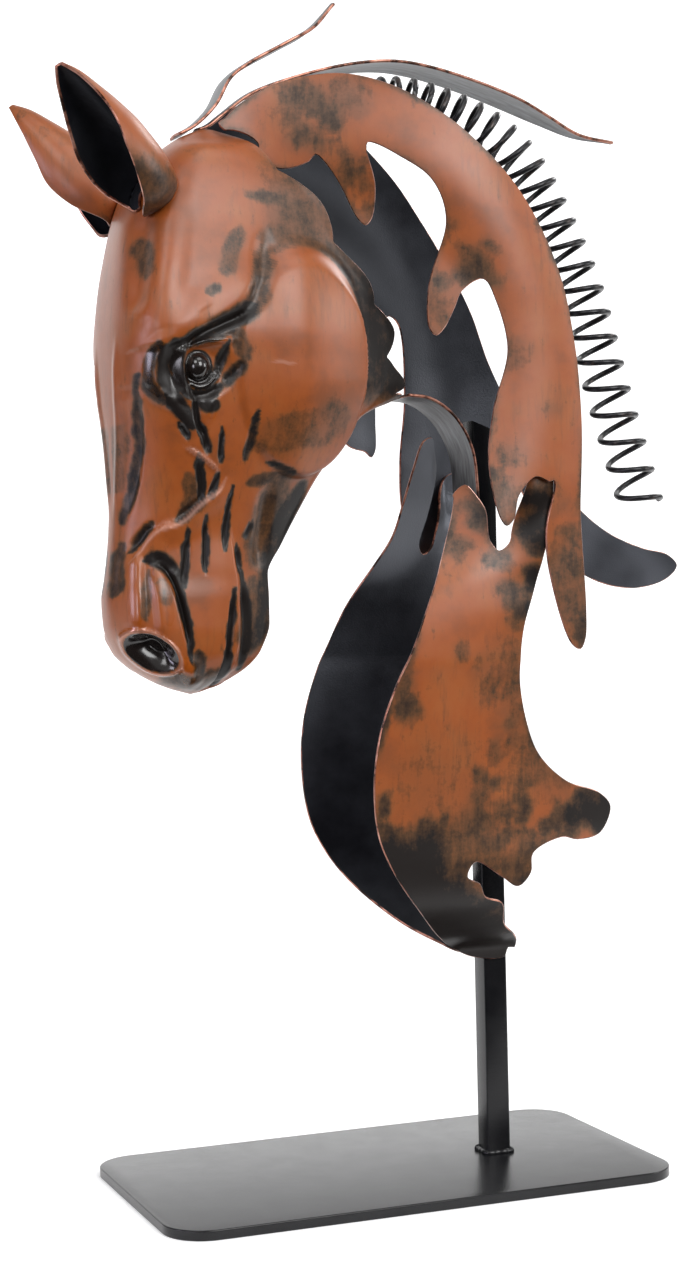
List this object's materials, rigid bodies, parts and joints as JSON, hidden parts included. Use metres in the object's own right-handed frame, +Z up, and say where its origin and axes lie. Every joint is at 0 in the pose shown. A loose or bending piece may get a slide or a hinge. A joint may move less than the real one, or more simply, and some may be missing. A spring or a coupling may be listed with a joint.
{
  "type": "metal horse statue",
  "caption": "Horse head and arched neck cut and bent from copper-brown sheet metal, with a coiled wire mane, on a square post and a flat black base plate.",
  "frame": {"origin": "centre of the base plate's underside", "axes": "+Z up along the post, -X the way the horse faces, +Y the horse's right-hand side"},
  "size_m": [0.2976, 0.12, 0.4685],
  "materials": {
    "base_plate": "satin black coat, worn bright along the top edge",
    "post": "satin black coat",
    "left_neck_plate": "copper-brown patina outside with dark blotches, bare copper-pink cut edges, black inside",
    "right_neck_plate": "copper-brown patina outside with dark blotches, bare copper-pink cut edges, black inside",
    "left_chest_plate": "copper-brown patina outside with dark blotches, bare copper-pink cut edges, black inside",
    "right_chest_plate": "copper-brown patina outside with dark blotches, bare copper-pink cut edges, black inside",
    "throat_strip": "grey-brown heat-darkened steel",
    "head_shell": "copper-brown patina outside with dark blotches, bare copper-pink cut edges, black inside",
    "left_ear": "copper-brown patina outside with dark blotches, bare copper-pink cut edges, black inside",
    "right_ear": "copper-brown patina outside with dark blotches, bare copper-pink cut edges, black inside",
    "forelock_strip": "grey-brown heat-darkened steel",
    "crest_strip": "grey-brown heat-darkened steel",
    "mane_spring": "satin black coat on round wire"
  },
  "bodies": {
    "root": {"base_plate": "base_plate", "post": "post", "left_neck_plate": "left_neck_plate", "right_neck_plate": "right_neck_plate", "left_chest_plate": "left_chest_plate", "right_chest_plate": "right_chest_plate", "throat_strip": "throat_strip", "head_shell": "head_shell", "left_ear": "left_ear", "right_ear": "right_ear", "forelock_strip": "forelock_strip", "crest_strip": "crest_strip", "mane_spring": "mane_spring"}
  },
  "joints": []
}
